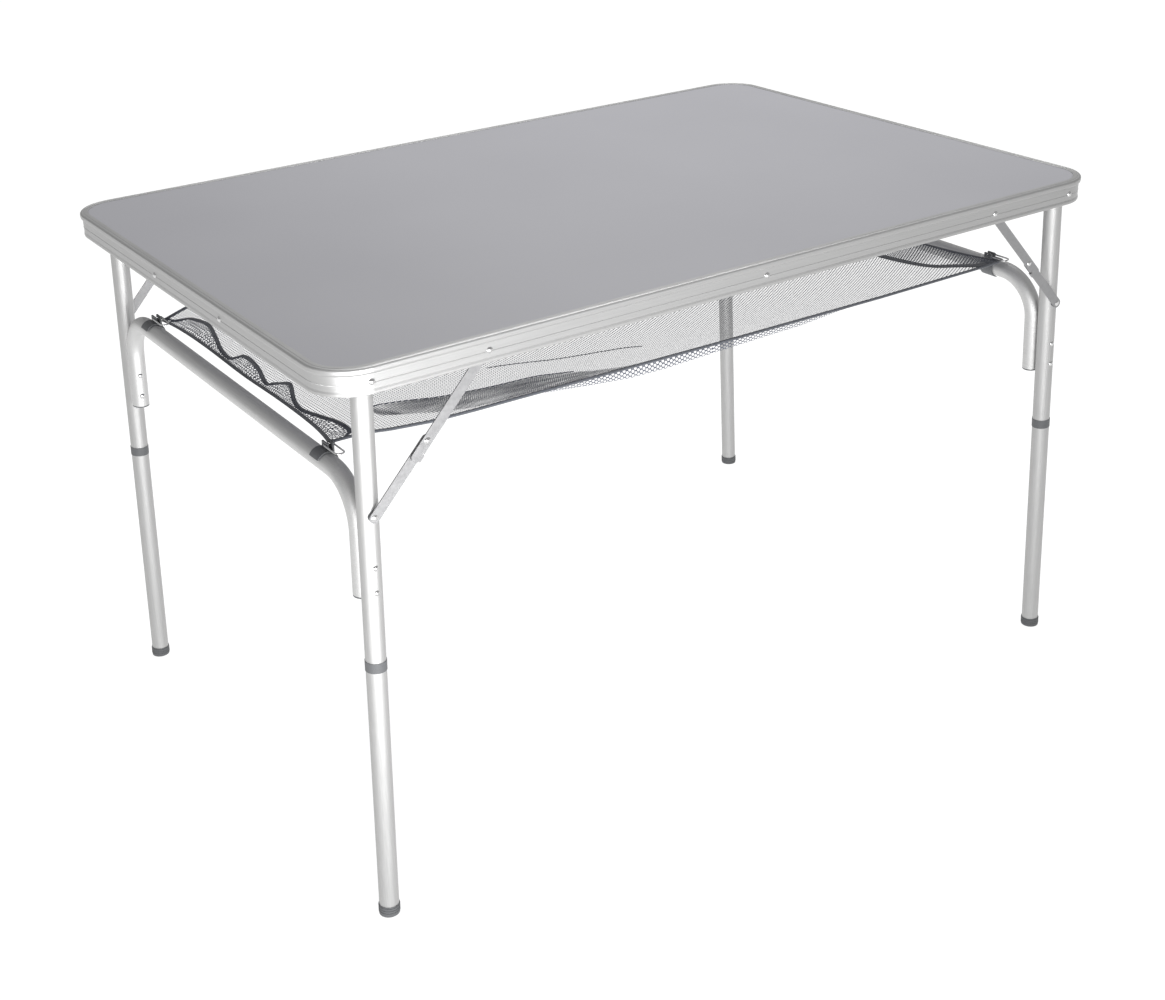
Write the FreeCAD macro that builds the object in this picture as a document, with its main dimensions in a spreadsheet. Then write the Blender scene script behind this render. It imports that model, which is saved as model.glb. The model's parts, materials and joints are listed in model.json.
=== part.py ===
import FreeCAD, Part
import math
import os

import Sketcher
from FreeCAD import Placement, Rotation, Vector

# Folding camp kitchen table, millimetres. Origin on the floor under the middle of the top,
# +X along the long side, -Y towards the front, +Z up.

DIMENSIONS = {
    # top
    "table_length": 1200, "table_width": 800, "table_height": 730, "corner_radius": 56,
    # extruded edge
    "rim_height": 33, "rim_wall": 1.6, "web_recess": 2.4, "bead_recess": 1.8,
    "lip_width": 11, "lip_thickness": 1.2, "shelf_thickness": 0.9, "shelf_width": 13.5,
    # board
    "board_thickness": 4, "board_sink": 0.6, "board_gap": 0.3, "tongue_width": 6,
    "tongue_thickness": 3.2,
    # beam under the middle of the board
    "beam_width": 44, "beam_web": 22, "beam_depth": 7.2, "beam_wall": 1.2,
    "bracket_width": 24, "bracket_wall": 1.5, "bracket_leaf": 30, "bracket_drop": 13,
    # leg frames
    "pivot_drop": 18, "leg_pivot_x": 545.6, "leg_pivot_y": 370, "foot_x": 580, "foot_y": 381,
    "tube_radius": 12.5, "tube_wall": 1.5, "tube_end": 4, "slip_gap": 0.1,
    "collar_drop": 357.8, "collar_length": 13, "collar_radius": 13.1, "spigot_length": 60,
    "foot_length": 14, "foot_radius": 13.1, "foot_rib": 0.5, "foot_floor": 3, "foot_plug": 22,
    "plug_length": 16, "plug_flange": 0.8,
    # U-shaped crossbar of a leg frame
    "crossbar_radius": 12, "crossbar_inset": 0.8, "crossbar_drop": 139.7, "crossbar_bend": 60,
    "crossbar_end": 276, "tube_spacing": 24.7, "crossbar_bolt_high": 228.6,
    "crossbar_bolt_low": 260,
    "cap_length": 2, "cap_plug": 12,
    # braces
    "brace_pivot_x": 399, "brace_rivet_drop": 164.2, "bar_width": 13, "bar_thickness": 1.5,
    "fold_offset": 17.6, "bar_tail": 22, "stop_reach": 16, "stop_length": 9, "stop_wall": 1.5,
    "stop_relief": 1.1, "lower_bar_y": 388.5, "upper_bar_y": 391.5, "saddle_radius": 6,
    "saddle_gap": 0.3, "elbow_head_height": 1.7, "end_head_height": 1.2,
    # fasteners
    "pivot_bolt_radius": 3, "rivet_radius": 2.5, "running_gap": 0.05,
    "bolt_head_radius": 3.9, "bolt_head_height": 2.1, "rivet_head_radius": 4,
    "flat_head_height": 0.8, "frame_bolt_radius": 2.4, "frame_head_radius": 3.6,
    "frame_head_height": 1.7, "nut_radius": 5.8, "nut_height": 5, "sleeve_radius": 5,
    "side_screw_back": 88.8, "side_screw_front": 114.4, "sleeve_gap": 0.5,
    # plate behind the joint of the edge
    "joiner_length": 260, "joiner_height": 16, "joiner_wall": 2,
    # clips and storage net
    "clip_y": 265, "clip_width": 22, "clip_wall": 2, "clip_gap": 0.2, "ear_width": 14,
    "ear_wall": 2.2, "ear_spacing": 7, "ear_height": 22, "ring_x": 7.2, "ring_rise": 18.6,
    "ring_wire": 1.1, "ring_radius": 6, "ring_straight": 24,
    "net_half_length": 532, "net_half_width": 290, "net_height": 588, "net_sag": 56,
    "net_thickness": 1.5,
}

doc = FreeCAD.newDocument("camp_kitchen_table")
sheet = doc.addObject("Spreadsheet::Sheet", "dims")
for row, (alias, number) in enumerate(DIMENSIONS.items(), start=1):
    sheet.set(f"A{row}", alias)
    sheet.set(f"B{row}", str(number))
    sheet.setAlias(f"B{row}", alias)
doc.recompute()


def size(alias):
    return float(sheet.get(alias))


# Derived places. A leg frame is drawn upright about its pivot line and then leaned outwards.
PIVOT_Z = size("table_height") - size("pivot_drop")
SPLAY = math.degrees(math.atan2(size("foot_x") - size("leg_pivot_x"), PIVOT_Z))
LEG_DROP = PIVOT_Z / math.cos(math.radians(SPLAY))
TOE_OUT = math.degrees(math.atan2(size("foot_y") - size("leg_pivot_y"), LEG_DROP))
WEB_OUTER_Y = size("table_width") / 2 - size("web_recess")
WEB_INNER_Y = WEB_OUTER_Y - size("rim_wall")
WEB_INNER_X = size("table_length") / 2 - size("web_recess") - size("rim_wall")
UNDERSIDE = size("table_height") - size("board_sink") - size("board_thickness")
SIDES = {"left": -1, "right": 1}
FACES = {"front": -1, "back": 1}

parts = {}  # node name -> the finished object


def leg_y(drop):
    """Distance of a leg's centre line from the middle of the table, at a drop below the pivot."""
    return size("leg_pivot_y") + drop * math.tan(math.radians(TOE_OUT))


def frame_place(side):
    """The pivot line of a leg frame, leaned so that its own -Z runs down the legs."""
    turn = Rotation(Vector(0, 0, 1), 0 if side < 0 else 180)
    lean = Rotation(Vector(0, 1, 0), SPLAY)
    return Placement(Vector(side * size("leg_pivot_x"), 0, PIVOT_Z), turn.multiply(lean))


def own_face(side, face):
    """Which side of its own leg frame a table face is: the right frame is turned half round."""
    return face if side < 0 else -face


def down_leg(face, drop):
    """A point on a leg's centre line in the frame's own axes, with Z up along the leg."""
    tilt = Rotation(Vector(1, 0, 0), face * TOE_OUT)
    return Placement(Vector(0, face * leg_y(drop), -drop), tilt)


def along_y(x, y, z, outward):
    """A place whose own +Z points along Y, away from the middle of the table."""
    return Placement(Vector(x, y, z), Rotation(Vector(0, 0, 1), Vector(0, outward, 0)))


def rod(radius, low, high, place):
    """A cylinder between two heights on the axis of a place."""
    made = doc.addObject("Part::Cylinder", "rod")
    made.setExpression("Radius", radius)
    made.Height = high - low
    made.Placement = place.multiply(Placement(Vector(0, 0, low), Rotation()))
    return made


def box(length, width, height, place):
    """A box centred in X and Y on its place, with its foot there."""
    made = doc.addObject("Part::Box", "box")
    for name, expression in (("Length", length), ("Width", width), ("Height", height)):
        made.setExpression(name, expression)
    doc.recompute()
    middle = Vector(-made.Length.Value / 2, -made.Width.Value / 2, 0)
    made.Placement = place.multiply(Placement(middle, Rotation()))
    return made


def dome(radius, height, place):
    """A low domed head: the cap of a sphere, flat side at the place."""
    made = doc.addObject("Part::Sphere", "dome")
    made.setExpression("Radius", f"({radius}^2 + {height}^2) / (2 * {height})")
    made.setExpression("Angle1", f"asin(({radius}^2 - {height}^2) / ({radius}^2 + {height}^2))")
    made.Angle2 = 90
    doc.recompute()
    drop = Vector(0, 0, made.Shape.BoundBox.ZMin)
    made.Placement = place.multiply(Placement(-drop, Rotation()))
    return made


def fuse(shapes):
    made = doc.addObject("Part::MultiFuse", "fuse")
    made.Shapes = shapes
    return made


def cut(base, tools):
    made = doc.addObject("Part::Cut", "cut")
    made.Base = base
    made.Tool = tools[0] if len(tools) == 1 else fuse(tools)
    return made


def group(solids):
    made = doc.addObject("Part::Compound", "group")
    made.Links = solids
    return made


def node(label, made, place=Placement()):
    """Names a finished piece and puts it in its place on the table."""
    made.Label = label
    made.Placement = place
    parts[label] = made
    return made


def body_plane(body, role):
    return next(f for f in body.Origin.OriginFeatures if f.Role == role)


def new_sketch(body, role):
    sketch = body.newObject("Sketcher::SketchObject", "outline")
    sketch.AttachmentSupport = [(body_plane(body, role), "")]
    sketch.MapMode = "FlatFace"
    return sketch


def bind(sketch, constraint, expression):
    index = sketch.addConstraint(constraint)
    sketch.setExpression(f"Constraints[{index}]", expression)
    return index


def circle(sketch, x, radius, expression_x=None):
    """A round hole on the sketch's X axis."""
    centre = Vector(x, 0, 0)
    index = sketch.addGeometry(Part.Circle(centre, Vector(0, 0, 1), 2.0), False)
    if expression_x is None:
        sketch.addConstraint(Sketcher.Constraint("Coincident", index, 3, -1, 1))
    else:
        sketch.addConstraint(Sketcher.Constraint("PointOnObject", index, 3, -1))
        bind(sketch, Sketcher.Constraint("DistanceX", -1, 1, index, 3, x), expression_x)
    bind(sketch, Sketcher.Constraint("Radius", index, 2.0), radius)


def bar_outline(sketch, length, half_width, expressions):
    """A flat bar's outline with round ends, from the origin to length along the X axis."""
    normal = Vector(0, 0, 1)
    quarter = math.pi / 2
    near, far, side = Vector(), Vector(length, 0, 0), Vector(0, half_width, 0)
    edges = [
        Part.ArcOfCircle(Part.Circle(far, normal, half_width), -quarter, quarter),
        Part.LineSegment(far + side, near + side),
        Part.ArcOfCircle(Part.Circle(near, normal, half_width), quarter, 3 * quarter),
        Part.LineSegment(near - side, far - side),
    ]
    right, top, left, bottom = (sketch.addGeometry(e, False) for e in edges)
    loop = [right, top, left, bottom, right]
    for first, second in zip(loop, loop[1:]):
        sketch.addConstraint(Sketcher.Constraint("Tangent", first, 2, second, 1))
    sketch.addConstraint(Sketcher.Constraint("Coincident", left, 3, -1, 1))
    sketch.addConstraint(Sketcher.Constraint("PointOnObject", right, 3, -1))
    bind(sketch, Sketcher.Constraint("DistanceX", -1, 1, right, 3, length), expressions["length"])
    bind(sketch, Sketcher.Constraint("Radius", right, half_width), expressions["half_width"])


def pad(body, sketch, length, reverse=False):
    made = body.newObject("PartDesign::Pad", "pad")
    made.Profile = sketch
    made.setExpression("Length", length)
    made.Reversed = reverse
    return made


def rounded_plate(body, half_x, half_y, radius, thickness, height):
    """Pads a rounded rectangle, centred on the body's origin, between two heights."""
    doc.recompute()
    sketch = new_sketch(body, "XY_Plane")
    sketch.AttachmentOffset = Placement(Vector(0, 0, height), Rotation())
    x, y, r = (float(sheet.evalExpression(e)) for e in (half_x, half_y, radius))
    corners = [(1, 1), (-1, 1), (-1, -1), (1, -1)]
    arcs = []
    for number, (sx, sy) in enumerate(corners):
        centre = Vector(sx * (x - r), sy * (y - r), 0)
        start = number * math.pi / 2
        turn = Part.ArcOfCircle(Part.Circle(centre, Vector(0, 0, 1), r), start, start + math.pi / 2)
        arcs.append(sketch.addGeometry(turn, False))
    ends = [(x - r, y), (-x, y - r), (-x + r, -y), (x, -y + r)]
    starts = [(-x + r, y), (-x, -y + r), (x - r, -y), (x, y - r)]
    for number in range(4):
        line = Part.LineSegment(Vector(*ends[number], 0), Vector(*starts[number], 0))
        side = sketch.addGeometry(line, False)
        sketch.addConstraint(Sketcher.Constraint("Tangent", arcs[number], 2, side, 1))
        following = arcs[(number + 1) % 4]
        sketch.addConstraint(Sketcher.Constraint("Tangent", side, 2, following, 1))
        if number:
            sketch.addConstraint(Sketcher.Constraint("Equal", arcs[0], arcs[number]))
        direction = "Horizontal" if number % 2 == 0 else "Vertical"
        sketch.addConstraint(Sketcher.Constraint(direction, side))
    bind(sketch, Sketcher.Constraint("Radius", arcs[0], r), radius)
    sketch.addConstraint(Sketcher.Constraint("Symmetric", arcs[0], 3, arcs[2], 3, -1, 1))
    across = Sketcher.Constraint("DistanceX", -1, 1, arcs[0], 3, x - r)
    bind(sketch, across, f"{half_x} - {radius}")
    along = Sketcher.Constraint("DistanceY", -1, 1, arcs[0], 3, y - r)
    bind(sketch, along, f"{half_y} - {radius}")
    return pad(body, sketch, thickness)


# ------------------------------------------------------------------ the top


def make_board():
    """A thin laminated board: its field lies inside the lip, its tongue runs under the lip."""
    body = doc.addObject("PartDesign::Body", "board")
    inset = "(dims.lip_width + dims.board_gap)"
    tongue = "(dims.lip_width + dims.board_gap - dims.tongue_width)"
    places = []
    for edge, thickness in ((inset, "dims.board_thickness"), (tongue, "dims.tongue_thickness")):
        half_x = f"(dims.table_length / 2 - {edge})"
        half_y = f"(dims.table_width / 2 - {edge})"
        radius = f"(dims.corner_radius - {edge})"
        places.append((half_x, half_y, radius, thickness))
    for half_x, half_y, radius, thickness in places:
        rounded_plate(body, half_x, half_y, radius, thickness, UNDERSIDE)
    return node("tabletop_board", body)


def rim_profile():
    """The edge's section at the middle of the front: (inset from the outside, height below the top)."""
    wall = size("rim_wall")
    web = size("web_recess")
    bead = size("bead_recess")
    low = size("rim_height")
    lip, lip_wall = size("lip_width"), size("lip_thickness")
    shelf = size("table_height") - UNDERSIDE + 0.1
    shelf_low = shelf + size("shelf_thickness")
    inner = web + wall
    ridge = 0.35
    outline = [
        ("line", (lip, 0.25)),
        ("line", (lip - 0.6, 0)),
        ("line", (5.6, 0)),
        ("arc", (4.9, 0.35), (4.2, 0)),
        ("line", (3.0, 0)),
        ("arc", (0.85, 0.85), (0, 2.8)),
        ("line", (0, 5.5)),
        ("arc", (0.5, 7.5), (web, 9.0)),
        ("line", (web, 18.9)),
        ("arc", (web - ridge, 19.5), (web, 20.1)),
        ("line", (web, 26.5)),
        ("arc", (web - 0.35, 28.0), (bead, 29.2)),
        ("line", (bead, low - 1.6)),
        ("arc", (bead + 0.5, low - 0.5), (bead + 1.6, low)),
        ("line", (inner - 0.4, low)),
        ("line", (inner, low - 0.4)),
        ("line", (inner, shelf_low)),
        ("line", (size("shelf_width"), shelf_low)),
        ("line", (size("shelf_width"), shelf)),
        ("line", (inner - 0.6, shelf)),
        ("line", (inner - 0.6, lip_wall)),
        ("line", (lip, lip_wall)),
    ]
    front, top = -size("table_width") / 2, size("table_height")
    spot = lambda p: Vector(0, front + p[0], top - p[1])
    edges = []
    last = spot(outline[-1][1])
    for kind, *points in outline:
        ends = [spot(p) for p in points]
        if kind == "line":
            edges.append(Part.makeLine(last, ends[0]))
        else:
            edges.append(Part.Arc(last, ends[0], ends[1]).toShape())
        last = ends[-1]
    return Part.Wire(edges)


def rim_path():
    """The rounded rectangle that the edge is bent round, at the outside of the top."""
    half_x, half_y = size("table_length") / 2, size("table_width") / 2
    radius, top = size("corner_radius"), size("table_height")
    edges = []
    turns = [(1, 1), (-1, 1), (-1, -1), (1, -1)]
    arcs = []
    for number, (sx, sy) in enumerate(turns):
        centre = Vector(sx * (half_x - radius), sy * (half_y - radius), top)
        angles = [math.radians(90 * number + step) for step in (0, 45, 90)]
        arcs.append([centre + Vector(math.cos(a), math.sin(a), 0) * radius for a in angles])
    for number, (start, middle, end) in enumerate(arcs):
        edges.append(Part.Arc(start, middle, end).toShape())
        edges.append(Part.makeLine(end, arcs[(number + 1) % 4][0]))
    return Part.Wire(edges)


def drilled_seat(seat, outward, radius):
    """A hole through the web, and a flat seat for its head cut through the fine ridge."""
    through = Part.makeCylinder(radius, size("rim_wall") + 2, seat + outward, -outward)
    head = Part.makeCylinder(size("bolt_head_radius") + 0.05, 2, seat, outward)
    return [through, head]


def make_rim():
    """One aluminium extrusion bent round the board; drilled for the bolts through its web."""
    edge = rim_path().makePipeShell([rim_profile()], True, False)
    holes = []
    web_side = size("table_width") / 2 - size("web_recess")
    spots = [(0, "rivet_radius")]
    for sx in (-1, 1):
        spots.append((sx * size("leg_pivot_x"), "pivot_bolt_radius"))
        spots.append((sx * size("brace_pivot_x"), "rivet_radius"))
    for x, radius in spots:
        for face in FACES.values():
            seat = Vector(x, face * web_side, PIVOT_Z)
            holes += drilled_seat(seat, Vector(0, face, 0), size(radius))
    for y in (size("side_screw_back"), -size("side_screw_front")):
        seat = Vector(-size("table_length") / 2 + size("web_recess"), y, PIVOT_Z)
        holes += drilled_seat(seat, Vector(-1, 0, 0), size("rivet_radius"))
    made = doc.addObject("Part::Feature", "rim")
    made.Shape = edge.cut(holes)
    return node("edge_rim", made)


def make_beam():
    """A shallow hat section across the middle, and the angle at each end that carries it."""
    length = 2 * (size("table_width") / 2 - size("shelf_width") - 0.5)
    body = doc.addObject("PartDesign::Body", "beam")
    sketch = new_sketch(body, "XZ_Plane")
    top = UNDERSIDE - 0.1
    low, wall = top - size("beam_depth"), size("beam_wall")
    flange, web = size("beam_width") / 2, size("beam_web") / 2
    half = [
        (flange, top), (flange, top - wall), (web, top - wall), (web - 2, low),
    ]
    inner = [(web - 2 - wall, low + wall), (web - wall, top)]
    points = half + [(-x, z) for x, z in reversed(half)]
    points += [(-x, z) for x, z in reversed(inner)] + inner
    corners = [Vector(x, z, 0) for x, z in points]
    lines = []
    for first, second in zip(corners, corners[1:] + corners[:1]):
        lines.append(sketch.addGeometry(Part.LineSegment(first, second), False))
    for number, line in enumerate(lines):
        following = lines[(number + 1) % len(lines)]
        sketch.addConstraint(Sketcher.Constraint("Coincident", line, 2, following, 1))
        sketch.addConstraint(Sketcher.Constraint("Block", line))
    made = pad(body, sketch, f"{length}")
    made.Midplane = True
    node("cross_beam", body)

    brackets = []
    for face in FACES.values():
        leaf_y = face * (WEB_INNER_Y - size("bracket_leaf") / 2)
        leaf_z = low - size("bracket_wall") - 0.1
        leaf = box("dims.bracket_width", "dims.bracket_leaf", "dims.bracket_wall",
                   Placement(Vector(0, leaf_y, leaf_z), Rotation()))
        upright_y = face * (WEB_INNER_Y - size("bracket_wall") / 2)
        upright_z = leaf_z - size("bracket_drop")
        upright = box("dims.bracket_width", "dims.bracket_wall", "dims.bracket_drop",
                      Placement(Vector(0, upright_y, upright_z), Rotation()))
        hole = rod("dims.rivet_radius", -8, 1, along_y(0, face * WEB_INNER_Y, PIVOT_Z, face))
        brackets.append(cut(fuse([leaf, upright]), [hole]))
    node("cross_beam_brackets", group(brackets))


def headed_pin(radius, head, depth, tail_head, place):
    """A pin with a domed head at its place, going inwards to an optional flat head."""
    pieces = [dome("dims.bolt_head_radius", "dims.bolt_head_height", place),
              rod(radius, -depth, 0, place)]
    if tail_head:
        pieces.append(rod(head, -depth - size("flat_head_height"), -depth, place))
    return fuse(pieces)


def make_rim_fasteners():
    """Bolts through the edge's web: leg pivots, brace pivots, beam and joiner screws."""
    pivots, sleeves, nuts, brace_pins = [], [], [], []
    nut_y = size("leg_pivot_y") - size("tube_radius") - 0.6 - size("nut_height")
    depth = WEB_OUTER_Y - nut_y + 0.5
    for side in SIDES.values():
        for face in FACES.values():
            x = side * size("leg_pivot_x")
            outside = along_y(x, face * WEB_OUTER_Y, PIVOT_Z, face)
            pivots.append(headed_pin("dims.pivot_bolt_radius", "dims.nut_radius", depth, False, outside))
            inside = along_y(x, face * WEB_INNER_Y, PIVOT_Z, face)
            leg_side = size("leg_pivot_y") + size("tube_radius") + 0.3 - WEB_INNER_Y
            sleeve = rod("dims.sleeve_radius", leg_side, -size("sleeve_gap"), inside)
            bore = rod("dims.pivot_bolt_radius + dims.running_gap", leg_side - 1, 1, inside)
            sleeves.append(cut(sleeve, [bore]))
            nut = doc.addObject("Part::Prism", "hexagon")
            nut.Polygon = 6
            nut.setExpression("Circumradius", "dims.nut_radius")
            nut.setExpression("Height", "dims.nut_height")
            nut.Placement = along_y(x, face * nut_y, PIVOT_Z, face)
            thread = rod("dims.pivot_bolt_radius", -1, 9, along_y(x, face * nut_y, PIVOT_Z, face))
            nuts.append(cut(nut, [thread]))

            x = side * size("brace_pivot_x")
            outside = along_y(x, face * WEB_OUTER_Y, PIVOT_Z, face)
            depth_in = WEB_OUTER_Y - size("upper_bar_y") + 0.3
            pin = headed_pin("dims.rivet_radius", "dims.rivet_head_radius", depth_in, True, outside)
            washer = rod("dims.rivet_head_radius + 1",
                         size("upper_bar_y") + size("bar_thickness") + 0.15 - WEB_OUTER_Y,
                         -size("rim_wall") - 0.05, outside)
            brace_pins.append(fuse([pin, washer]))
    node("leg_pivot_bolts", group(pivots))
    node("leg_pivot_sleeves", group(sleeves))
    node("leg_pivot_nuts", group(nuts))
    node("brace_pivot_rivets", group(brace_pins))

    beam_pins = []
    for face in FACES.values():
        outside = along_y(0, face * WEB_OUTER_Y, PIVOT_Z, face)
        depth = size("rim_wall") + size("bracket_wall") + 0.1
        beam_pins.append(headed_pin("dims.rivet_radius", "dims.rivet_head_radius", depth, True, outside))
    node("cross_beam_rivets", group(beam_pins))


def make_joiner():
    """The plate behind the joint of the bent edge, with its two screws, on the left side."""
    back, front = size("side_screw_back"), -size("side_screw_front")
    middle = (back + front) / 2
    plate_x = -WEB_INNER_X + size("joiner_wall") / 2 + 0.05
    foot = Vector(plate_x, middle, PIVOT_Z - size("joiner_height") / 2)
    plate = box("dims.joiner_wall", "dims.joiner_length", "dims.joiner_height",
                Placement(foot, Rotation()))
    outward = Rotation(Vector(0, 0, 1), Vector(-1, 0, 0))
    screws, holes = [], []
    for y in (back, front):
        outside = Placement(Vector(-WEB_INNER_X - size("rim_wall"), y, PIVOT_Z), outward)
        holes.append(rod("dims.rivet_radius", -8, 1, outside))
        screws.append(headed_pin("dims.rivet_radius", "dims.rivet_head_radius", 5, False, outside))
    node("rim_joiner_plate", cut(plate, holes))
    node("rim_joiner_screws", group(screws))


# ------------------------------------------------------------------ leg frames


def tube(radius, low, high, place):
    outer = rod(radius, low, high, place)
    inner = rod(f"{radius} - dims.tube_wall", low - 1, high + 1, place)
    return outer, inner


def cross_hole(radius, drop):
    """A round hole right across a leg frame, along its pivot line, at a drop."""
    return rod(radius, -450, 450, along_y(0, 0, -drop, 1))


def make_upper_leg(side, side_name, face, face_name):
    own = own_face(side, face)
    end = size("collar_drop") - size("collar_length") / 2
    outer, inner = tube("dims.tube_radius", -end, size("tube_end"), down_leg(own, 0))
    holes = [
        inner,
        cross_hole("dims.pivot_bolt_radius + dims.running_gap", 0),
        cross_hole("dims.frame_bolt_radius", size("crossbar_bolt_high")),
        cross_hole("dims.frame_bolt_radius", size("crossbar_bolt_low")),
    ]
    node(f"{face_name}_{side_name}_upper_leg", cut(outer, holes), frame_place(side))


def make_leg_plugs(side, side_name):
    """Plastic plugs that close the tops of the legs and carry the pivot bolts."""
    plugs = []
    for own in (-1, 1):
        place = down_leg(own, 0)
        top = size("tube_end")
        shank = rod("dims.tube_radius - dims.tube_wall - dims.slip_gap",
                    top - size("plug_length"), top, place)
        flange = rod("dims.tube_radius - 0.5", top, top + size("plug_flange"), place)
        bore = cross_hole("dims.pivot_bolt_radius + dims.running_gap", 0)
        plugs.append(cut(fuse([shank, flange]), [bore]))
    node(f"{side_name}_leg_top_plugs", group(plugs), frame_place(side))


def crossbar_place(own=1):
    """The crossbar stands a little inward of the legs; its second end is turned half round."""
    turn = Rotation(Vector(0, 0, 1), 0 if own > 0 else 180)
    return Placement(Vector(size("crossbar_inset"), 0, 0), turn)


def crossbar_solid(radius):
    """The U of a crossbar as a solid round bar: straight, a bend at each end, two short drops."""
    lean = math.radians(TOE_OUT)
    bend, drop = size("crossbar_bend"), size("crossbar_drop")
    reach = size("leg_pivot_y") * math.cos(lean) - size("tube_spacing") - bend
    centre_y = (reach + (drop + bend) * math.sin(lean)) / math.cos(lean)
    straight = crossbar_place().multiply(along_y(0, 0, -drop, 1))
    pieces = [rod(radius, -centre_y, centre_y, straight)]
    for own in (-1, 1):
        ring = doc.addObject("Part::Torus", "bend")
        ring.setExpression("Radius1", "dims.crossbar_bend")
        ring.setExpression("Radius2", radius)
        ring.Angle3 = 90 - TOE_OUT
        upright = Placement(Vector(0, centre_y, -drop - bend), Rotation(Vector(0, 1, 0), -90))
        ring.Placement = crossbar_place(own).multiply(upright)
        pieces.append(ring)
        start = Vector(0, centre_y + bend * math.cos(lean), -drop - bend + bend * math.sin(lean))
        length = (size("crossbar_end") + start.z) / math.cos(lean)
        tilted = Placement(start, Rotation(Vector(1, 0, 0), TOE_OUT))
        pieces.append(rod(radius, -length, 0, crossbar_place(own).multiply(tilted)))
    return fuse(pieces), centre_y


def crossbar_mouth(own, centre_y):
    """The lower end of a crossbar, with Z up its own tube."""
    lean = math.radians(TOE_OUT)
    bend, drop = size("crossbar_bend"), size("crossbar_drop")
    fall = size("crossbar_end") - drop - bend + bend * math.sin(lean)
    y = centre_y + bend * math.cos(lean) + fall * math.tan(lean)
    low = Vector(0, y, -size("crossbar_end"))
    return crossbar_place(own).multiply(Placement(low, Rotation(Vector(1, 0, 0), TOE_OUT)))


def make_crossbar(side, side_name):
    bore = "dims.crossbar_radius - dims.tube_wall"
    outer, centre_y = crossbar_solid("dims.crossbar_radius")
    inner, _ = crossbar_solid(bore)
    mouths = [rod(bore, -3, 1, crossbar_mouth(own, centre_y)) for own in (-1, 1)]
    holes = [cross_hole("dims.frame_bolt_radius", size("crossbar_bolt_high")),
             cross_hole("dims.frame_bolt_radius", size("crossbar_bolt_low"))]
    node(f"{side_name}_crossbar", cut(outer, [inner] + mouths + holes), frame_place(side))

    caps = []
    for own in (-1, 1):
        mouth = crossbar_mouth(own, centre_y)
        shank = rod(f"{bore} - dims.slip_gap", -0.02, size("cap_plug"), mouth)
        flange = rod("dims.crossbar_radius - 0.2", -size("cap_length"), -0.02, mouth)
        caps.append(fuse([shank, flange]))
    node(f"{side_name}_crossbar_end_caps", group(caps), frame_place(side))


def make_frame_bolts(side, side_name):
    """The bolts that clamp the crossbar's ends to the legs, with a domed head at each end."""
    bolts = []
    for own in (-1, 1):
        for alias in ("crossbar_bolt_high", "crossbar_bolt_low"):
            drop = size(alias)
            outer_y = leg_y(drop) + size("tube_radius") + 0.06
            inner_y = leg_y(drop) - size("tube_spacing") - size("crossbar_radius") - 0.06
            outside = along_y(0, own * outer_y, -drop, own)
            inside = along_y(0, own * inner_y, -drop, -own)
            bolts.append(fuse([
                dome("dims.frame_head_radius", "dims.frame_head_height", outside),
                rod("dims.frame_bolt_radius", inner_y - outer_y, 0, outside),
                dome("dims.frame_head_radius", "dims.frame_head_height", inside),
            ]))
    node(f"{side_name}_crossbar_bolts", group(bolts), frame_place(side))


def make_saddles(side, side_name):
    """Saddle washers on the legs that the lower brace bars bear on."""
    saddles = []
    drop = size("brace_rivet_drop")
    for own in (-1, 1):
        outward = along_y(0, 0, -drop, own)
        disc = rod("dims.saddle_radius", leg_y(drop), size("lower_bar_y") - size("saddle_gap"), outward)
        leg = rod("dims.tube_radius + 0.05", -drop - 40, -drop + 40, down_leg(own, 0))
        saddles.append(cut(disc, [leg]))
    node(f"{side_name}_brace_saddles", group(saddles), frame_place(side))


def ring_reach(side):
    """The way along a leg frame's own Y that its net rings lie: towards the front."""
    return own_face(side, -1)


def make_clip(side, side_name, face, face_name):
    """A springy open clip over the crossbar, with two upright ears slotted for the ring."""
    own = own_face(side, face)
    half = size("clip_width") / 2
    middle = Vector(size("crossbar_inset"), own * size("clip_y"), -size("crossbar_drop"))
    across = along_y(middle.x, middle.y, middle.z, 1)
    outer = rod("dims.crossbar_radius + dims.clip_gap + dims.clip_wall", -half, half, across)
    inner = rod("dims.crossbar_radius + dims.clip_gap", -half - 1, half + 1, across)
    pieces = [outer]
    for step in (-0.5, 0.5):
        foot = Vector(size("ring_x") + step * size("ear_spacing"), middle.y, middle.z)
        pieces.append(box("dims.ear_wall", "dims.ear_width", "dims.ear_height", Placement(foot, Rotation())))
    slot_y = middle.y - ring_reach(side) * 0.35
    slot = box("24", "6.4", "3.2", Placement(
        Vector(size("ring_x"), slot_y, middle.z + size("ring_rise") - 1.6), Rotation()))
    opening = box("dims.crossbar_radius * 2", "dims.clip_width + 2", "30",
                  Placement(middle, Rotation(Vector(0, 1, 0), 235)))
    clip = cut(fuse(pieces), [inner, opening, slot])
    node(f"{face_name}_{side_name}_net_clip", clip, frame_place(side))


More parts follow.
